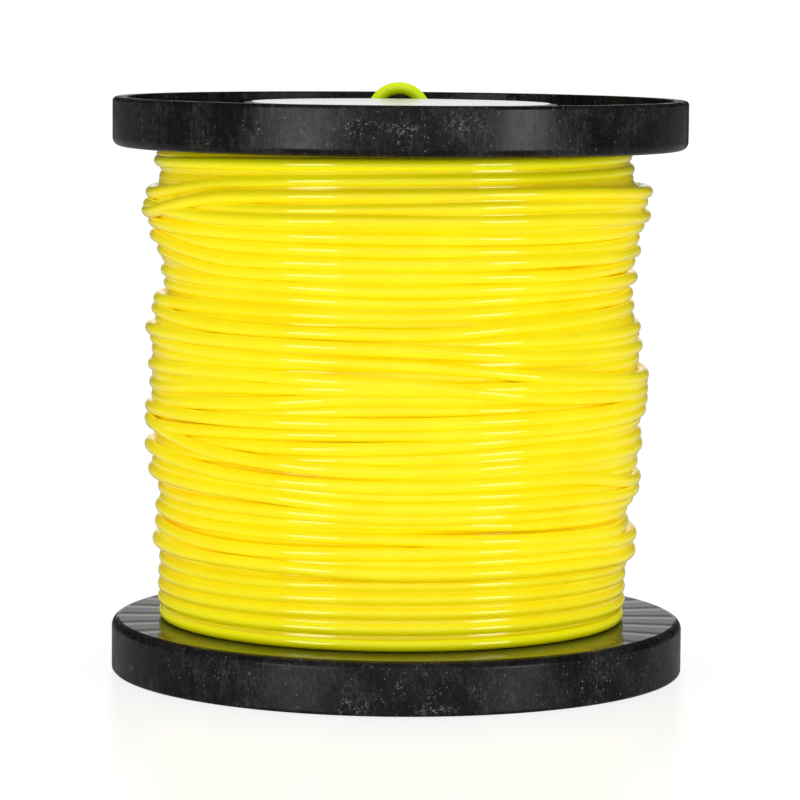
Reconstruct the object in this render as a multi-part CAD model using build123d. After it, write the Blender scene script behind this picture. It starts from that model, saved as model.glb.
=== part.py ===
from build123d import *
import os

# A full spool of trimmer line, standing on its bottom flange.
# Millimetres and degrees. The spool's axis is Z, the ground is z = 0 and the viewer stands on the -Y side.
# Angles turn about Z from +X towards +Y.

# Spool: flanges
flange_diameter = 106.0
spool_height = 106.0
top_rim_height = 9.0
bottom_rim_height = 9.7
rim_wall = 2.4
rim_edge_break = 0.9
rim_lip_break = 0.4
web_thickness = 2.4

# Spool: barrel and the flat hub in each flange
barrel_diameter = 36.0
bore_diameter = 31.0
hub_diameter = 58.0
hub_recess = 0.95

# Spool: low ribs on the outer face of each web
rib_count = 30
rib_thickness = 1.2
rib_height = 3.0
top_rib_angle = 7.0
bottom_rib_angle = 1.0

# Spool: line notch and tall rib in the rim of the top flange
notch_width = 3.2
notch_depth = 3.8
notch_angle = -9.0
tall_rib_width = 2.1
tall_rib_depth = 1.5
tall_rib_drop = 0.4
tall_rib_angle = 63.8

# Line: its turns on the barrel
line_diameter = 2.4
line_sides = 8
winding_diameter = 89.0
groove_depth = 0.8
turn_wander = 0.4
turn_wander_step = 137.5
winding_sides = 30
# How far the turns stand out past the winding's radius, evenly spaced from the bottom to the top
winding_swell = (
    -0.7, -0.7, -0.7, -0.3, -1.1, 0.1, 1.4, 1.2, 1.0,
    1.6, 1.6, 0.5, -1.3, -0.1, 0.5, 2.2, 0.0, 0.1,
)

# Line: its end, a loop through two holes in the top web
loop_bend_radius = 5.2
loop_rise = 2.1
loop_inset = 3.5
loop_offset = -0.3
line_hole_clearance = 0.4

# Label
label_diameter = 55.0
label_thickness = 0.2

# Worked out from the sizes above
flange_radius = flange_diameter / 2
rim_inner_radius = flange_radius - rim_wall
barrel_radius = barrel_diameter / 2
bore_radius = bore_diameter / 2
hub_radius = hub_diameter / 2
winding_radius = winding_diameter / 2
winding_bottom = bottom_rim_height
winding_top = spool_height - top_rim_height
loop_seat = winding_radius - loop_inset
loop_legs = [(loop_offset + side * loop_bend_radius, loop_seat) for side in (-1, 1)]


def revolved(points):
    """The solid that a closed outline of (radius, height) points sweeps round the axis."""
    outline = Polyline(*points, close=True)
    return revolve(Plane.XZ * make_face(outline), Axis.Z)


def flange_outline(rim_height):
    """Half section of a flange whose outer plane is z = 0 and whose winding face is at the rim's height."""
    web_outer_face = rim_height - web_thickness
    return [
        (bore_radius, rim_height),
        (flange_radius - rim_edge_break, rim_height),
        (flange_radius, rim_height - rim_edge_break),
        (flange_radius, rim_lip_break),
        (flange_radius - rim_lip_break, 0),
        (rim_inner_radius, 0),
        (rim_inner_radius, web_outer_face),
        (hub_radius, web_outer_face),
        (hub_radius, hub_recess),
        (bore_radius, hub_recess),
    ]


def radial_bars(count, first_angle, inner_radius, outer_radius, thickness, bottom, top):
    """Equal upright bars that point away from the axis, evenly spaced round it."""
    bar = Box(
        outer_radius - inner_radius,
        thickness,
        top - bottom,
        align=(Align.MIN, Align.CENTER, Align.MIN),
    )
    return [place * Pos(0, 0, bottom) * bar for place in PolarLocations(inner_radius, count, first_angle)]


def flange(rim_height, rib_angle):
    """A flange with its outer plane at z = 0: rim, web, hub and low ribs."""
    ribs = radial_bars(
        rib_count,
        rib_angle,
        hub_radius - rib_thickness,
        flange_radius - rim_wall / 2,
        rib_thickness,
        rim_height - web_thickness - rib_height,
        rim_height - web_thickness / 2,
    )
    return revolved(flange_outline(rim_height)) + ribs


def top_flange():
    """The top flange, with its tall rib and its line notch, outer plane up at the spool's full height."""
    tall_rib = radial_bars(
        1,
        tall_rib_angle,
        rim_inner_radius - tall_rib_depth,
        flange_radius - rim_wall / 2,
        tall_rib_width,
        tall_rib_drop,
        top_rim_height - web_thickness / 2,
    )
    notch = radial_bars(
        1,
        notch_angle,
        flange_radius - notch_depth,
        flange_radius + rim_wall,
        notch_width,
        -rim_wall,
        top_rim_height + rim_wall,
    )
    upside_down = flange(top_rim_height, top_rib_angle) + tall_rib - notch
    return Pos(0, 0, spool_height) * mirror(upside_down, about=Plane.XY)


def line_holes():
    """The two holes in the top web that the line's end goes through."""
    hole_length = web_thickness + 2 * rib_height
    hole = Cylinder(line_diameter / 2 + line_hole_clearance, hole_length)
    middle = winding_top + web_thickness / 2
    return [Pos(x, y, middle) * hole for x, y in loop_legs]


def spool():
    """One moulding: two flanges on a barrel with an open bore."""
    barrel = revolved([
        (bore_radius, winding_bottom - web_thickness / 2),
        (barrel_radius, winding_bottom - web_thickness / 2),
        (barrel_radius, winding_top + web_thickness / 2),
        (bore_radius, winding_top + web_thickness / 2),
    ])
    return flange(bottom_rim_height, bottom_rib_angle) + barrel + top_flange() - line_holes()


def swell_at(share):
    """The winding's swell at a share of its height, straight between the listed values."""
    place = share * (len(winding_swell) - 1)
    below = min(int(place), len(winding_swell) - 2)
    return winding_swell[below] + (place - below) * (winding_swell[below + 1] - winding_swell[below])


def turn_outline(radius, height, wander, direction):
    """The many-sided outline of the winding at one height, set a little off the axis."""
    centre = Vector(wander, 0).rotate(Axis.Z, direction)
    return Pos(centre.X, centre.Y, height) * RegularPolygon(radius, winding_sides)


def winding():
    """The wound turns as one solid: a ridge for each turn, grooves between, no turn quite on the axis."""
    height = winding_top - winding_bottom
    turns = round(height / line_diameter)
    outlines = []
    for step in range(2 * turns + 1):
        share = step / (2 * turns)
        on_ridge = step % 2 == 1
        outlines.append(turn_outline(
            winding_radius + swell_at(share) - (0 if on_ridge else groove_depth),
            winding_bottom + share * height,
            turn_wander if on_ridge else 0,
            step * turn_wander_step,
        ))
    core = Cylinder(barrel_radius, height, align=(Align.CENTER, Align.CENTER, Align.MIN))
    return loft(outlines, ruled=True) - Pos(0, 0, winding_bottom) * core


def end_loop():
    """The line's end: up through one hole, over in a half circle and down through the other."""
    section = RegularPolygon(line_diameter / 2, line_sides)
    arch_height = spool_height + loop_rise - line_diameter / 2 - loop_bend_radius
    arch = revolve(Pos(-loop_bend_radius, 0) * section, Axis.Y, revolution_arc=180)
    leg = extrude(section, arch_height - winding_top)
    legs = [Pos(x, y, winding_top) * leg for x, y in loop_legs]
    return Pos(loop_offset, loop_seat, arch_height) * arch + legs


def label_disc():
    """The round paper label on the flat hub of the top flange."""
    disc = Cylinder(label_diameter / 2, label_thickness, align=(Align.CENTER, Align.CENTER, Align.MIN))
    return Pos(0, 0, spool_height - hub_recess) * disc


pieces = {
    "spool": spool(),
    "trimmer_line": winding() + end_loop(),
    "label_disc": label_disc(),
}

os.makedirs("parts", exist_ok=True)
for name, piece in pieces.items():
    export_step(piece, f"parts/{name}.step")
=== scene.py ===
import math

import bmesh
import bpy
import numpy as np
from mathutils import Matrix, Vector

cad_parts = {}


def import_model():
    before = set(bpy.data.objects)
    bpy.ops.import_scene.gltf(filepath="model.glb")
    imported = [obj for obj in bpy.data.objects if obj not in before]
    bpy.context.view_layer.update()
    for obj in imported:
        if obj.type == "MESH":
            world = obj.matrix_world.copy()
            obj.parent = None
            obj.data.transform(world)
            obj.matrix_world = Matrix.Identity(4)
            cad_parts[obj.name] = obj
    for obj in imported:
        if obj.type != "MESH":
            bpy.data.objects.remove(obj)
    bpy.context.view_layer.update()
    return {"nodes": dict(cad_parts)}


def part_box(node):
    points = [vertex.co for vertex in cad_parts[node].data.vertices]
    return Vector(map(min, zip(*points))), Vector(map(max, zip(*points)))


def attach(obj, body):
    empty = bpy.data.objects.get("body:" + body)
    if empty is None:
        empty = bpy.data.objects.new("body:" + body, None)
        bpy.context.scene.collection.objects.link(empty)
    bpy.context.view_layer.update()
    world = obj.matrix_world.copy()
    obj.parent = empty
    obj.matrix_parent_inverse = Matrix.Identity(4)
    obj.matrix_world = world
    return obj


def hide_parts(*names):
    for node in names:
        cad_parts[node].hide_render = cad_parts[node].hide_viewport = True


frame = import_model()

# A full spool of trimmer line, dressed round its solids.
# Metres, with the spool's axis on Z and the viewer on the -Y side.
# Azimuths are in degrees from the front of the spool, to the viewer's right.

MM = 0.001

# Sizes of the line and of what it is wound on
line_diameter = 2.4 * MM
line_radius = line_diameter / 2
top_rim_height = 9.0 * MM
barrel_radius = 18.0 * MM
loop_bend_radius = 5.2 * MM
loop_offset = -0.3 * MM
loop_seat = 41.0 * MM
loop_root = 2.0 * MM

# Sizes of the moulding's edges and of its low ribs
rim_edge_round = 0.60 * MM
rim_lip_round = 0.27 * MM
small_edge_round = 0.30 * MM
rim_edge_segments = 4
small_edge_segments = 3
lip_height = 1.0 * MM
rib_count = 30
bottom_rib_angle = 1.0

# Reading the moulding's mesh: how close two points count as one, and angles between faces in degrees
same_point = 1e-6
flat_angle = 0.3
chamfer_angles = (30, 60)
corner_angles = (60, 180)

# Sizes that follow from the frame
_, spool_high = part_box("spool")
line_low, line_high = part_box("trimmer_line")
winding_bottom = line_low.z
winding_top = spool_high.z - top_rim_height

# Where each visible turn lies: its height in millimetres at five azimuths across the front.
# Turns are laid in this order, so a later one rides over those that it crosses.
turn_azimuths = (-82, -40, 0, 40, 82)
lower_turns = (
    (25.8, 25.2, 25.3, 25.6, 24.4),
    (27.6, 26.8, 27.3, 27.4, 26.0),
    (32.0, 32.2, 32.5, 31.4, 30.9),
    (34.2, 34.2, 33.6, 33.6, 32.8),
    (39.0, 38.5, 37.3, 37.2, 35.6),
    (42.0, 43.0, 44.1, 45.2, 44.8),
    (45.3, 45.3, 46.1, 47.4, 47.4),
    (46.4, 47.6, 48.3, 48.9, 49.2),
    (48.9, 51.0, 52.6, 52.4, 52.4),
    (51.2, 52.7, 54.9, 54.3, 52.6),
    (53.4, 55.6, 56.4, 56.2, 54.6),
    (65.2, 64.7, 64.0, 64.4, 64.4),
    (71.9, 71.7, 71.1, 72.1, 72.6),
    (82.0, 80.5, 80.4, 80.2, 80.8),
    (87.7, 87.1, 87.7, 88.3, 87.5),
)
upper_turns = (
    (10.9, 10.9, 10.9, 10.9, 10.9),
    (13.5, 13.6, 13.7, 13.7, 13.5),
    (16.0, 16.2, 16.5, 16.4, 16.1),
    (18.4, 18.6, 19.1, 19.0, 18.6),
    (21.0, 21.0, 21.5, 21.4, 20.8),
    (24.4, 24.4, 23.7, 23.6, 22.9),
    (30.6, 29.8, 29.6, 28.9, 28.3),
    (37.4, 37.0, 35.3, 35.5, 34.6),
    (42.0, 40.1, 39.2, 39.6, 36.6),
    (46.8, 43.3, 41.8, 42.8, 42.6),
    (49.2, 49.9, 50.3, 50.9, 51.2),
    (57.0, 58.1, 57.2, 54.2, 53.0),
    (61.8, 61.3, 60.6, 57.7, 55.6),
    (63.6, 63.8, 63.3, 61.5, 61.0),
    (67.2, 66.0, 65.8, 67.3, 68.3),
    (69.0, 69.0, 68.7, 69.8, 70.6),
    (74.3, 73.9, 73.3, 73.8, 73.6),
    (78.1, 75.9, 75.9, 75.8, 76.4),
    (80.7, 78.0, 78.1, 78.5, 78.4),
    (83.3, 82.8, 82.7, 82.5, 82.9),
    (86.4, 85.4, 85.7, 85.7, 84.8),
    (85.2, 89.3, 90.1, 90.4, 89.4),
    (88.6, 91.8, 92.8, 93.0, 93.4),
    (94.4, 95.1, 95.5, 95.6, 95.7),
)

# How the turns are laid
steps_per_turn = 120
tube_sides = 14
arch_steps = 37
leg_steps = 9
profile_levels = 60
turn_depth = 0.7 * MM
highest_ride = 1.4 * MM
contact_share = 0.9
stiff_steps = 5
inner_depth = 0.62 * MM
inner_ridge_share = 0.5
inner_pitch = 2.42 * MM
inner_rows_per_turn = 7
back_wander = 0.8 * MM
end_sink_turns = 0.2
end_sink_depth = 2 * line_diameter
# How far the turns sit to the viewer's right, in millimetres, evenly spaced from the bottom to the top
winding_lean = (-1.0, -1.0, -0.4, -0.6, -0.2, -0.4, -0.7, -0.3, -0.7, -0.3, 0.0, -1.8)

# Colours
white = (1, 1, 1, 1)
line_tones = ((1.0, 0.83, 0.004, 1), (1.0, 0.87, 0.008, 1))
# Painted light: a lighter, greener tone for the line beside the flanges, standing in for light where their
# overhang shades the turns
line_flange_painted_light = (1.0, 0.96, 0.001, 1)
# Light comes back amber from the layers below, through the nylon that lies over them
inner_tones = ((1.0, 0.80, 0.001, 1), (1.0, 0.85, 0.001, 1))
# Painted light: the amber of the layers below, kept beside the flanges as well
inner_flange_painted_light = (1.0, 0.82, 0.001, 1)
# Painted light: the free loop is painted lime and brighter, for the light that its translucent nylon carries
loop_painted_light_tone = (0.78, 1.0, 0.002, 1)
clean_black = (0.0030, 0.0030, 0.0032, 1)
rubbed_black = (0.036, 0.036, 0.035, 1)
dust_grey = (0.40, 0.39, 0.37, 1)
label_tones = ((0.74, 0.74, 0.75, 1), (0.81, 0.81, 0.82, 1))
floor_grey = (0.2, 0.2, 0.2, 1)

# Finish of the line; how far from the flanges the painted light (a lighter, greener tone over the flanges'
# shade) begins and is full; and how far above the winding the loop's painted lime light begins and is full
line_index = 1.5
line_specular = 0.40
line_roughness = (0.09, 0.16)
line_skin_depth = 0.01 * MM
top_painted_light_reach = (8.0 * MM, 0.8 * MM)
bottom_painted_light_reach = (7.0 * MM, 0.8 * MM)
loop_painted_light_rise = (1.0 * MM, 3.0 * MM)

# Finish of the moulding
plastic_index = 1.48
plastic_specular = 0.16
rim_roughness = 0.25
rubbed_roughness = 0.12
deck_roughness = 0.10
dust_roughness = 0.4
dust_cover = 0.7
least_film = 0.25
least_fleck = 0.2
mark_share = 0.5
skin_depth = 0.03 * MM
deck_edge = (0.25 * MM, 0.1 * MM)
sink_line_depth = 0.035 * MM
sink_line_reach = 0.28

# Where lint clings to the rims: azimuth, and height in millimetres
lint_spots = ((-8.4, 102.1), (1.2, 102.2), (12.2, 103.0), (-7.5, 1.6), (7, 1.2))
lint_flatness = 2.2
lint_core = 1.0 * MM
lint_reach = 6.0 * MM

# Finish of the label
label_index = 1.5
label_roughness = 0.16
label_wave_depth = 0.25 * MM
label_fibre_depth = 0.01 * MM

# The studio as mirrored rays see it, by how far they point away from the viewer, and its fill, by how far up
white_behind = (0.97, 1.0)
white_in_front = (-0.4, -0.95)
behind_glow = 1.0
side_glow = 0.04
front_glow = 0.9
fill_rise = (0.10, 0.70)
fill_low_down = 1.28
fill_overhead = 0.86
# Light is followed this many times from turn to turn, so that the gaps between them don't go dark
most_bounces = 12

# The floor
floor_half_width = 3.0
floor_roughness = 0.3
floor_glow = 0.8
floor_mirror_glow = 0.2

# Softboxes: name, azimuth, elevation, distance, width, height and watts, and whether they fill too
softboxes = (
    ("left_softbox", -39, 2.5, 0.9, 0.36, 0.24, 2.6, False),
    ("right_softbox", 48, 2.5, 0.9, 0.30, 0.24, 2.2, False),
    ("top_softbox", 0, 75, 1.0, 0.9, 0.7, 0.8, True),
)

# The camera: focal length and sensor in millimetres, place in metres, turns in degrees
camera_lens = 179.57
camera_sensor = 36.0
camera_nearest = 0.05
camera_place = (-0.975 * MM, -737.0 * MM, 124.16 * MM)
camera_yaw = -0.100
camera_dip = 5.737
camera_roll = 0.500


def smooth_through(places, values, wanted):
    """A smooth curve through the values that never overshoots them."""
    spans = np.diff(places)
    slopes = np.diff(values) / spans
    tangents = np.zeros(len(values))
    product = slopes[:-1] * slopes[1:]
    total = slopes[:-1] + slopes[1:]
    keeps_direction = product > 0
    tangents[1:-1][keeps_direction] = 2 * product[keeps_direction] / total[keeps_direction]
    left = np.clip(np.searchsorted(places, wanted) - 1, 0, len(spans) - 1)
    share = (wanted - places[left]) / spans[left]
    rest = 1 - share
    return (
        (1 + 2 * share) * rest**2 * values[left]
        + share * rest**2 * spans[left] * tangents[left]
        + share**2 * (3 - 2 * share) * values[left + 1]
        - share**2 * rest * spans[left] * tangents[left + 1]
    )


def round_axis(radius, azimuth, height):
    """Points at these distances from the axis, azimuths in radians and heights."""
    return np.stack([radius * np.sin(azimuth), -radius * np.cos(azimuth), height], axis=-1)


def winding_radius(heights):
    """How far the winding's solid reaches from the axis at these heights."""
    corners = np.array([vertex.co for vertex in frame["nodes"]["trimmer_line"].data.vertices])
    reach = np.hypot(corners[:, 0], corners[:, 1])
    levels = np.linspace(winding_bottom, winding_top, profile_levels)
    ridges = [reach[np.abs(corners[:, 2] - level) < line_radius].max() for level in levels]
    return np.interp(heights, levels, ridges)


def lay_radius(heights, azimuth):
    """How far the layer of turns reaches there, with the winding's lean to one side."""
    levels = np.linspace(winding_bottom, winding_top, len(winding_lean))
    lean = np.interp(heights, levels, winding_lean) * MM
    return winding_radius(heights) + lean * np.sin(azimuth) - turn_depth


def route_heights(turns, rng):
    """Heights of a line that goes round in these turns, one row of steps for each turn."""
    azimuths = []
    heights = []
    for number, turn in enumerate(turns):
        azimuths += [360 * number + azimuth for azimuth in turn_azimuths]
        heights += [height * MM for height in turn]
        following = turns[min(number + 1, len(turns) - 1)]
        azimuths.append(360 * number + 180)
        heights.append((turn[-1] + following[0]) / 2 * MM + rng.uniform(-back_wander, back_wander))
    steps = np.arange(len(turns) * steps_per_turn) * 360 / steps_per_turn - 180
    wanted = np.clip(steps, azimuths[0], azimuths[-1])
    route = smooth_through(np.array(azimuths), np.array(heights), wanted)
    lowest = winding_bottom + line_radius
    highest = winding_top - line_radius
    return np.clip(route, lowest, highest).reshape(len(turns), steps_per_turn)


def lay_turns(heights, laid):
    """Radius of each turn's middle: on the layer below, or up over the turns that it crosses."""
    reach = contact_share * line_diameter
    azimuth = np.arange(steps_per_turn) * 2 * math.pi / steps_per_turn - math.pi
    for turn in heights:
        radius = lay_radius(turn, azimuth) - line_radius
        bed = radius.copy()
        for other_height, other_radius in laid:
            apart = np.abs(turn - other_height) / reach
            ride = other_radius + line_diameter * np.sqrt(np.clip(1 - apart**2, 0, None))
            radius = np.where(apart < 1, np.maximum(radius, ride), radius)
        lift = highest_ride * np.tanh((radius - bed) / highest_ride)
        laid.append((turn, bed + lift))
    return np.array([radius for _, radius in laid[-len(heights):]])


def evened(values, reach):
    """Values smoothed along the line, because it is too stiff for sharp bends."""
    window = np.hanning(2 * reach + 1)
    padded = np.concatenate([np.full(reach, values[0]), values, np.full(reach, values[-1])])
    return np.convolve(padded, window / window.sum(), mode="valid")


def place_piece(mesh, material, node):
    """Puts a mesh in the scene as a smooth piece that rides on the object and stands for a node."""
    mesh.shade_smooth()
    mesh.materials.append(material)
    piece = bpy.data.objects.new(mesh.name, mesh)
    bpy.context.scene.collection.objects.link(piece)
    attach(piece, "root")
    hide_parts(node)
    return piece


def line_piece(name, vertices, faces, material):
    """A piece that stands for the line, or for part of it."""
    mesh = bpy.data.meshes.new(name)
    mesh.from_pydata(vertices.tolist(), [], faces)
    mesh.validate()
    return place_piece(mesh, material, "trimmer_line")


def tube(points, outward):
    """Vertices and faces of a round line along points, with rings turned towards outward."""
    tangent = np.gradient(points, axis=0)
    tangent /= np.linalg.norm(tangent, axis=1, keepdims=True)
    side = np.cross(tangent, outward)
    side /= np.linalg.norm(side, axis=1, keepdims=True)
    up = np.cross(side, tangent)
    angles = (np.arange(tube_sides) * 2 * math.pi / tube_sides)[None, :, None]
    ring = np.cos(angles) * up[:, None, :] + np.sin(angles) * side[:, None, :]
    vertices = (points[:, None, :] + line_radius * ring).reshape(-1, 3)
    faces = []
    for step in range(len(points) - 1):
        for corner in range(tube_sides):
            here = step * tube_sides + corner
            beside = step * tube_sides + (corner + 1) % tube_sides
            faces.append((here, here + tube_sides, beside + tube_sides, beside))
    last = (len(points) - 1) * tube_sides
    faces.append(tuple(range(tube_sides)))
    faces.append(tuple(last + corner for corner in reversed(range(tube_sides))))
    return vertices, faces


def wound_line(name, turns, laid, rng, material):
    """One length of line laid in these turns, with both ends tucked under its neighbours."""
    heights = route_heights(turns, rng)
    radii = evened(lay_turns(heights, laid).ravel(), stiff_steps)
    heights = heights.ravel()
    turn_number = np.arange(len(heights)) / steps_per_turn
    from_end = np.minimum(turn_number, turn_number[-1] - turn_number)
    sink = np.clip(1 - from_end / end_sink_turns, 0, 1) ** 2 * end_sink_depth
    azimuth = 2 * math.pi * turn_number - math.pi
    points = round_axis(radii - sink, azimuth, heights)
    outward = round_axis(1.0, azimuth, np.zeros(len(heights)))
    vertices, faces = tube(points, outward)
    return line_piece(name, vertices, faces, material)


def inner_turns(material):
    """The layers below as one ridged ring round the barrel, which shows in the gaps."""
    height = winding_top - winding_bottom
    rows = round(height / inner_pitch) * inner_rows_per_turn + 1
    levels = np.linspace(winding_bottom, winding_top, rows)
    azimuth = np.arange(steps_per_turn) * 2 * math.pi / steps_per_turn
    level_grid, azimuth_grid = np.meshgrid(levels, azimuth, indexing="ij")
    along = (level_grid - winding_bottom) / inner_pitch - azimuth_grid / (2 * math.pi)
    from_middle = (along - np.round(along)) * inner_pitch
    ridge = np.sqrt(np.clip(line_radius**2 - from_middle**2, 0, None)) - line_radius
    radius = lay_radius(level_grid, azimuth_grid) - inner_depth + inner_ridge_share * ridge
    outer = round_axis(radius, azimuth_grid, level_grid)
    bottom_wall = round_axis(barrel_radius, azimuth, np.full(steps_per_turn, winding_bottom))
    top_wall = round_axis(barrel_radius, azimuth, np.full(steps_per_turn, winding_top))
    rings = np.concatenate([bottom_wall[None], outer, top_wall[None]])
    faces = []
    for row in range(len(rings)):
        this_ring = row * steps_per_turn
        next_ring = (row + 1) % len(rings) * steps_per_turn
        for step in range(steps_per_turn):
            beside = (step + 1) % steps_per_turn
            faces.append((this_ring + step, this_ring + beside, next_ring + beside, next_ring + step))
    return line_piece("line_inner_turns", rings.reshape(-1, 3), faces, material)


def end_loop(material):
    """The line's end, up through one hole in the top web and down through the other."""
    arch_height = line_high.z - line_radius - loop_bend_radius
    bend = np.linspace(math.pi, 0, arch_steps)
    arch_across = loop_offset + loop_bend_radius * np.cos(bend)
    arch_up = arch_height + loop_bend_radius * np.sin(bend)
    leg_up = np.linspace(winding_top - loop_root, arch_height, leg_steps + 1)[:-1]
    first_leg = np.full(leg_steps, arch_across[0])
    second_leg = np.full(leg_steps, arch_across[-1])
    across = np.concatenate([first_leg, arch_across, second_leg])
    up = np.concatenate([leg_up, arch_up, leg_up[::-1]])
    points = np.stack([across, np.full(len(across), loop_seat), up], axis=1)
    outward = np.tile([0.0, 1.0, 0.0], (len(points), 1))
    vertices, faces = tube(points, outward)
    return line_piece("line_end_loop", vertices, faces, material)


class Nodes:
    """A node tree, with short names for making and joining its nodes."""

    def __init__(self, tree):
        self.tree = tree

    def add(self, kind, **settings):
        """A new node of this kind."""
        node = self.tree.nodes.new(kind)
        for name, value in settings.items():
            setattr(node, name, value)
        return node

    def feed(self, socket, value):
        """Joins a socket to another one, or sets it to a number or a colour."""
        if isinstance(value, bpy.types.NodeSocket):
            self.tree.links.new(value, socket)
        else:
            socket.default_value = value

    def math(self, operation, first, second=0.0, third=0.0):
        """The result of an operation on up to three numbers or sockets."""
        node = self.add("ShaderNodeMath", operation=operation)
        for socket, value in zip(node.inputs, (first, second, third)):
            self.feed(socket, value)
        return node.outputs[0]

    def ramp(self, value, start, end, low=0.0, high=1.0):
        """A smooth step from low to high as the value goes from start to end."""
        node = self.add("ShaderNodeMapRange", interpolation_type="SMOOTHSTEP")
        for socket, number in zip(node.inputs, (value, start, end, low, high)):
            self.feed(socket, number)
        return node.outputs[0]

    def axis(self, place, name):
        """One coordinate of a place or direction."""
        node = self.add("ShaderNodeSeparateXYZ")
        self.feed(node.inputs[0], place)
        return node.outputs[name]

    def rays(self):
        """One for the camera's rays, for mirrored rays, and for rays that a surface has scattered."""
        path = self.add("ShaderNodeLightPath").outputs
        mirrored = self.math("MAXIMUM", path["Is Glossy Ray"], path["Is Transmission Ray"])
        scattered = self.math("GREATER_THAN", path["Diffuse Depth"], 0.5)
        return path["Is Camera Ray"], mirrored, scattered


class Paint(Nodes):
    """A material, with short names for the patterns that the finishes share."""

    def __init__(self, name):
        self.material = bpy.data.materials.new(name)
        self.material.use_nodes = True
        super().__init__(self.material.node_tree)
        self.shader = self.tree.nodes["Principled BSDF"]
        self.place = self.add("ShaderNodeTexCoord").outputs["Object"]

    def stretched(self, x, y, z):
        """The place on the object with its coordinates multiplied by these."""
        node = self.add("ShaderNodeMapping")
        self.feed(node.inputs["Vector"], self.place)
        node.inputs["Scale"].default_value = (x, y, z)
        return node.outputs[0]

    def noise(self, scale, detail=3.0, roughness=0.55, place=None):
        """Cloudy noise, with this many clouds to a metre."""
        node = self.add("ShaderNodeTexNoise")
        self.feed(node.inputs["Vector"], place or self.place)
        node.inputs["Scale"].default_value = scale
        node.inputs["Detail"].default_value = detail
        node.inputs["Roughness"].default_value = roughness
        return node.outputs["Fac"]

    def specks(self, scale, size, share):
        """Small dots: one at most in each cell, in this share of the cells."""
        node = self.add("ShaderNodeTexVoronoi")
        self.feed(node.inputs["Vector"], self.place)
        node.inputs["Scale"].default_value = scale
        dot = self.ramp(node.outputs["Distance"], start=size, end=size * 0.4)
        parts = self.add("ShaderNodeSeparateColor")
        self.feed(parts.inputs[0], node.outputs["Color"])
        chosen = self.math("LESS_THAN", parts.outputs[0], share)
        brightness = self.ramp(parts.outputs[1], start=0.0, end=1.0, low=0.15, high=1.0)
        return self.math("MULTIPLY", self.math("MULTIPLY", dot, chosen), brightness)

    def near(self, spot, inner, outer, flatness):
        """One at this spot, fading from the inner distance to the outer one, and sooner up and down."""
        node = self.add("ShaderNodeVectorMath", operation="DISTANCE")
        self.feed(node.inputs[0], self.stretched(1, 1, flatness))
        node.inputs[1].default_value = (spot[0], spot[1], spot[2] * flatness)
        return self.ramp(node.outputs["Value"], start=outer, end=inner)

    def lifted(self, value, least):
        """A value between nothing and one, moved up to lie between the least and one."""
        return self.math("MULTIPLY_ADD", value, 1 - least, least)

    def blend(self, share, first, second):
        """A colour between the first and the second, by the second's share."""
        node = self.add("ShaderNodeMix", data_type="RGBA")
        self.feed(node.inputs["Factor"], share)
        self.feed(node.inputs["A"], first)
        self.feed(node.inputs["B"], second)
        return node.outputs["Result"]

    def bump(self, height, distance, strength=1.0, normal=None):
        """Fine relief of this height, on top of another where a normal is given."""
        node = self.add("ShaderNodeBump")
        self.feed(node.inputs["Height"], height)
        node.inputs["Distance"].default_value = distance
        node.inputs["Strength"].default_value = strength
        if normal is not None:
            self.feed(node.inputs["Normal"], normal)
        return node.outputs[0]

    def set(self, **values):
        """Sets the shader's sockets, named with underscores for spaces."""
        for name, value in values.items():
            self.feed(self.shader.inputs[name.replace("_", " ")], value)


def nylon(name, tones, painted_flange_light):
    """Glossy nylon between two tones, with painted light next to the flanges (a lighter, greener tone over
    their shade) and on the free loop (a painted lime tone).
    """
    paint = Paint(name)
    height = paint.axis(paint.place, "Z")
    # Painted light: near each flange the tone turns lighter and greener, over the shade that the flange's
    # overhang casts
    near_top = paint.ramp(height, winding_top - top_painted_light_reach[0], winding_top - top_painted_light_reach[1])
    near_bottom = paint.ramp(height, winding_bottom + bottom_painted_light_reach[0], winding_bottom + bottom_painted_light_reach[1])
    shade = paint.math("MAXIMUM", near_top, near_bottom)
    # Painted light: above the winding the loop's colour turns to the painted lime tone
    free = paint.ramp(height, winding_top + loop_painted_light_rise[0], winding_top + loop_painted_light_rise[1])
    tone = paint.ramp(paint.noise(scale=90, detail=3), start=0.35, end=0.65)
    body = paint.blend(tone, *tones)
    with_flange_painted_light = paint.blend(shade, body, painted_flange_light)
    colour = paint.blend(free, with_flange_painted_light, loop_painted_light_tone)
    roughness = paint.ramp(paint.noise(scale=500, detail=2), 0.3, 0.7, *line_roughness)
    fine = paint.noise(scale=2200, detail=2, place=paint.stretched(1, 1, 2.5))
    paint.set(
        Base_Color=colour,
        Roughness=roughness,
        IOR=line_index,
        Specular_IOR_Level=line_specular,
        Normal=paint.bump(fine, line_skin_depth, strength=0.2),
    )
    return paint.material


def on_deck(paint):
    """One on the face of the bottom flange that the line lies against."""
    above = paint.math("SUBTRACT", paint.axis(paint.place, "Z"), winding_bottom)
    return paint.ramp(paint.math("ABSOLUTE", above), *deck_edge)


def sink_lines(paint):
    """The faint radial dips that ribs leave on the other side of a moulded web."""
    rib_step = 2 * math.pi / rib_count
    rib_phase = math.radians(bottom_rib_angle)
    angle = paint.math("ARCTAN2", paint.axis(paint.place, "Y"), paint.axis(paint.place, "X"))
    turned = paint.math("DIVIDE", paint.math("SUBTRACT", angle, rib_phase), rib_step)
    from_rib = paint.math("ABSOLUTE", paint.math("SUBTRACT", turned, paint.math("ROUND", turned)))
    dip = paint.ramp(from_rib, start=sink_line_reach, end=0.0)
    return paint.math("MULTIPLY", dip, on_deck(paint))


def on_rim(azimuth, height):
    """A spot on the outside of a rim."""
    turn = math.radians(azimuth)
    return (spool_high.x * math.sin(turn), -spool_high.x * math.cos(turn), height * MM)


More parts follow.
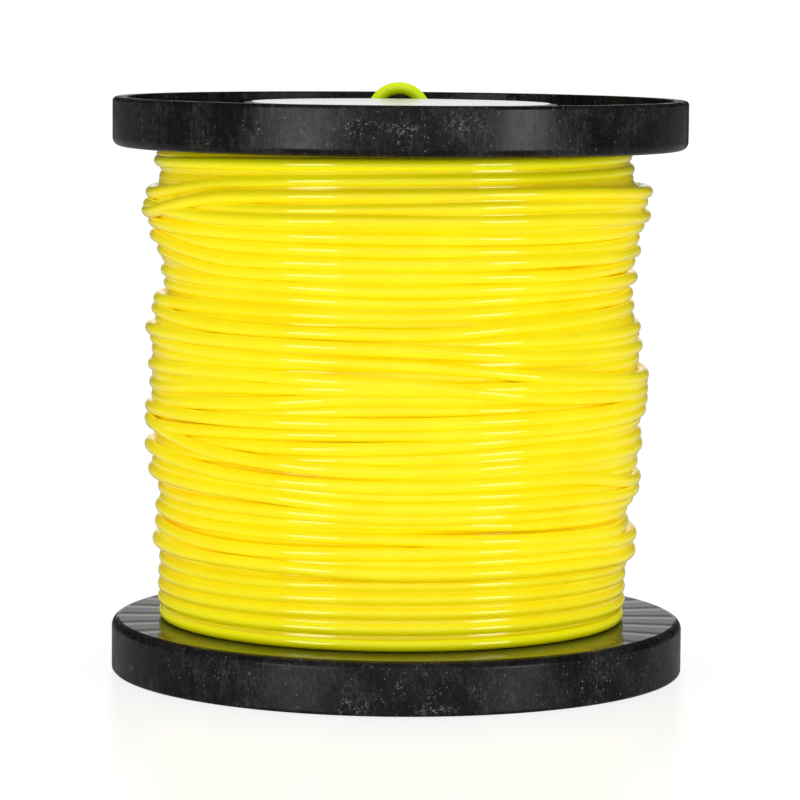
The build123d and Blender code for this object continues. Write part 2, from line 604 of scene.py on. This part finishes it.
def lint(paint):
    """Short fibres: bits of the thin contour lines of a noise, thick in a few places."""
    field = paint.noise(scale=1500, detail=2, place=paint.stretched(1, 1, 1.5))
    from_contour = paint.math("ABSOLUTE", paint.math("SUBTRACT", field, 0.5))
    thread = paint.ramp(from_contour, start=0.024, end=0.008)
    bits = paint.ramp(paint.noise(scale=1100, detail=2), start=0.46, end=0.56)
    patches = paint.ramp(paint.noise(scale=420, detail=3), start=0.38, end=0.56)
    places = paint.ramp(paint.noise(scale=260, detail=5, roughness=0.75), start=0.58, end=0.68)
    for azimuth, height in lint_spots:
        spot = paint.near(on_rim(azimuth, height), lint_core, lint_reach, lint_flatness)
        places = paint.math("MAXIMUM", places, paint.math("MULTIPLY", spot, patches))
    return paint.math("MULTIPLY", paint.math("MULTIPLY", thread, bits), places)


def rub_marks(paint):
    """Short upright strokes."""
    field = paint.noise(scale=1100, detail=4, roughness=0.75, place=paint.stretched(1, 1, 0.25))
    return paint.ramp(field, start=0.53, end=0.66)


def rubbed_film(paint, rubbed, strokes):
    """The pale film of a handled moulding: flecks and strokes, thick where it is rubbed."""
    field = paint.noise(scale=2400, detail=3, roughness=0.75, place=paint.stretched(1, 1, 0.6))
    grain = paint.ramp(field, start=0.48, end=0.64)
    flecks = paint.lifted(paint.math("MAXIMUM", grain, strokes), least_fleck)
    return paint.math("MULTIPLY", paint.lifted(rubbed, least_film), flecks)


def settled_dust(paint):
    """Dust specks of two sizes, more in some places, and lint."""
    gathers = paint.ramp(paint.noise(scale=60, detail=4, roughness=0.6), start=0.34, end=0.66)
    small = paint.specks(scale=1500, size=0.20, share=paint.math("MULTIPLY", gathers, 0.45))
    large = paint.specks(scale=700, size=0.13, share=paint.math("MULTIPLY", gathers, 0.16))
    return paint.math("MAXIMUM", paint.math("MAXIMUM", small, large), lint(paint))


def black_plastic():
    """Satin black moulding, rubbed in patches, with dust specks and lint."""
    paint = Paint("black_plastic")
    rubbed = paint.ramp(paint.noise(scale=120, detail=6, roughness=0.70), start=0.42, end=0.62)
    strokes = rub_marks(paint)
    dust = settled_dust(paint)
    body = paint.blend(rubbed_film(paint, rubbed, strokes), clean_black, rubbed_black)
    colour = paint.blend(paint.math("MULTIPLY", dust, dust_cover), body, dust_grey)
    deck = on_deck(paint)
    rim_rough = paint.math("ADD", rim_roughness, paint.math("MULTIPLY", rubbed, rubbed_roughness))
    deck_smooth = paint.math("MULTIPLY", deck, paint.math("SUBTRACT", deck_roughness, rim_rough))
    clean_rough = paint.math("ADD", rim_rough, deck_smooth)
    roughness = paint.math("ADD", clean_rough, paint.math("MULTIPLY", dust, dust_roughness))
    marks = paint.math("MULTIPLY_ADD", strokes, mark_share, paint.noise(scale=900, detail=4, roughness=0.65))
    pitted = paint.math("MULTIPLY", marks, paint.math("SUBTRACT", 1.0, deck))
    skin = paint.bump(pitted, skin_depth, strength=0.6)
    paint.set(
        Base_Color=colour,
        Roughness=roughness,
        IOR=plastic_index,
        Specular_IOR_Level=plastic_specular,
        Normal=paint.bump(sink_lines(paint), -sink_line_depth, normal=skin),
    )
    return paint.material


def white_label():
    """Smooth white coated paper, lying not quite flat."""
    paint = Paint("white_label")
    tone = paint.ramp(paint.noise(scale=60, detail=4), start=0.3, end=0.7)
    waves = paint.bump(paint.noise(scale=70, detail=2), label_wave_depth, strength=0.6)
    paint.set(
        Base_Color=paint.blend(tone, *label_tones),
        Roughness=label_roughness,
        IOR=label_index,
        Normal=paint.bump(paint.noise(scale=3000, detail=2), label_fibre_depth, strength=0.4, normal=waves),
    )
    return paint.material


def round_edges(shape, edges, width, segments):
    """Rounds these edges of a mesh."""
    bmesh.ops.bevel(
        shape,
        geom=edges,
        offset=width,
        offset_type="OFFSET",
        segments=segments,
        profile=0.5,
        affect="EDGES",
        clamp_overlap=False,
    )


def edges_between(shape, least, most):
    """The edges where two faces meet at an angle between these, in degrees."""
    low, high = math.radians(least), math.radians(most)
    return [edge for edge in shape.edges if low < edge.calc_face_angle(0) < high]


def at_lip(edge):
    """True for an edge of a rim's outer plane."""
    heights = [vertex.co.z for vertex in edge.verts]
    return max(heights) < lip_height or min(heights) > spool_high.z - lip_height


def rounded_spool(material):
    """The spool's moulding with its edges rounded, as it comes out of the mould."""
    shape = bmesh.new()
    shape.from_mesh(frame["nodes"]["spool"].data)
    bmesh.ops.remove_doubles(shape, verts=shape.verts, dist=same_point)
    flat = math.radians(flat_angle)
    bmesh.ops.dissolve_limit(shape, angle_limit=flat, verts=shape.verts, edges=shape.edges)
    lips = [edge for edge in edges_between(shape, *chamfer_angles) if at_lip(edge)]
    round_edges(shape, lips, rim_lip_round, small_edge_segments)
    rim_edges = [edge for edge in edges_between(shape, *chamfer_angles) if not at_lip(edge)]
    round_edges(shape, rim_edges, rim_edge_round, rim_edge_segments)
    corners = edges_between(shape, *corner_angles)
    round_edges(shape, corners, small_edge_round, small_edge_segments)
    mesh = bpy.data.meshes.new("spool_moulding")
    shape.to_mesh(mesh)
    shape.free()
    piece = place_piece(mesh, material, "spool")
    weighted = piece.modifiers.new("even_shading", "WEIGHTED_NORMAL")
    weighted.keep_sharp = True
    return piece


def world():
    """A white studio: white to the camera and behind the object, dim to the sides, with an even fill."""
    studio = bpy.data.worlds.new("studio")
    studio.use_nodes = True
    nodes = Nodes(studio.node_tree)
    camera_ray, mirrored, scattered = nodes.rays()
    direction = nodes.add("ShaderNodeTexCoord").outputs["Generated"]
    away = nodes.axis(direction, "Y")
    behind = nodes.ramp(away, *white_behind, low=side_glow, high=behind_glow)
    front = nodes.ramp(away, *white_in_front, low=0.0, high=front_glow)
    backdrop = nodes.math("MULTIPLY", mirrored, nodes.math("ADD", behind, front))
    fill_level = nodes.ramp(nodes.axis(direction, "Z"), *fill_rise, low=fill_low_down, high=fill_overhead)
    fill = nodes.math("MULTIPLY", scattered, fill_level)
    lit = nodes.math("MAXIMUM", backdrop, fill)
    background = nodes.tree.nodes["Background"]
    background.inputs["Color"].default_value = white
    nodes.feed(background.inputs["Strength"], nodes.math("MAXIMUM", camera_ray, lit))
    bpy.context.scene.world = studio


def floor():
    """A white floor that keeps the spool's shadow and meets the white background."""
    half = floor_half_width
    corners = [(-half, -half, 0), (half, -half, 0), (half, half, 0), (-half, half, 0)]
    mesh = bpy.data.meshes.new("floor")
    mesh.from_pydata(corners, [], [(0, 1, 2, 3)])
    paint = Paint("floor")
    camera_ray, mirrored, scattered = paint.rays()
    seen = paint.math("MAXIMUM", paint.math("MULTIPLY", camera_ray, floor_glow), scattered)
    glow = paint.math("MAXIMUM", seen, paint.math("MULTIPLY", mirrored, floor_mirror_glow))
    paint.set(
        Base_Color=floor_grey,
        Roughness=floor_roughness,
        Emission_Color=white,
        Emission_Strength=glow,
    )
    mesh.materials.append(paint.material)
    piece = bpy.data.objects.new("floor", mesh)
    bpy.context.scene.collection.objects.link(piece)


def softbox(name, azimuth, elevation, distance, width, height, watts, fills):
    """A rectangular lamp that faces the middle of the spool and, if it fills, lights more than the gloss."""
    lamp = bpy.data.lights.new(name, "AREA")
    lamp.shape = "RECTANGLE"
    lamp.size = width
    lamp.size_y = height
    lamp.energy = watts
    place = bpy.data.objects.new(name, lamp)
    place.visible_diffuse = fills
    bpy.context.scene.collection.objects.link(place)
    turn = Matrix.Rotation(math.radians(azimuth), 4, "Z")
    tilt = Matrix.Rotation(math.radians(90 - elevation), 4, "X")
    aim = Matrix.Translation((0, 0, spool_high.z / 2))
    place.matrix_world = aim @ turn @ tilt @ Matrix.Translation((0, 0, distance))


def camera():
    """The photograph's viewpoint: a long lens, a little above the top flange."""
    lens = bpy.data.cameras.new("camera")
    lens.lens = camera_lens
    lens.sensor_width = camera_sensor
    lens.clip_start = camera_nearest
    place = bpy.data.objects.new("camera", lens)
    bpy.context.scene.collection.objects.link(place)
    spot = Matrix.Translation(camera_place)
    yaw = Matrix.Rotation(math.radians(camera_yaw), 4, "Z")
    pitch = Matrix.Rotation(math.radians(90 - camera_dip), 4, "X")
    roll = Matrix.Rotation(math.radians(camera_roll), 4, "Z")
    place.matrix_world = spot @ yaw @ pitch @ roll
    bpy.context.scene.camera = place


line_material = nylon("yellow_line", line_tones, line_flange_painted_light)
inner_material = nylon("yellow_line_inner", inner_tones, inner_flange_painted_light)
draws = np.random.default_rng(4)
laid_turns = []
inner_turns(inner_material)
wound_line("line_lower_turns", lower_turns, laid_turns, draws, line_material)
wound_line("line_upper_turns", upper_turns, laid_turns, draws, line_material)
end_loop(line_material)
rounded_spool(black_plastic())

label = frame["nodes"]["label_disc"]
label.data.materials.clear()
label.data.materials.append(white_label())

world()
floor()
for lamp in softboxes:
    softbox(*lamp)
camera()
bpy.context.scene.view_settings.view_transform = "Standard"
bpy.context.scene.cycles.diffuse_bounces = most_bounces
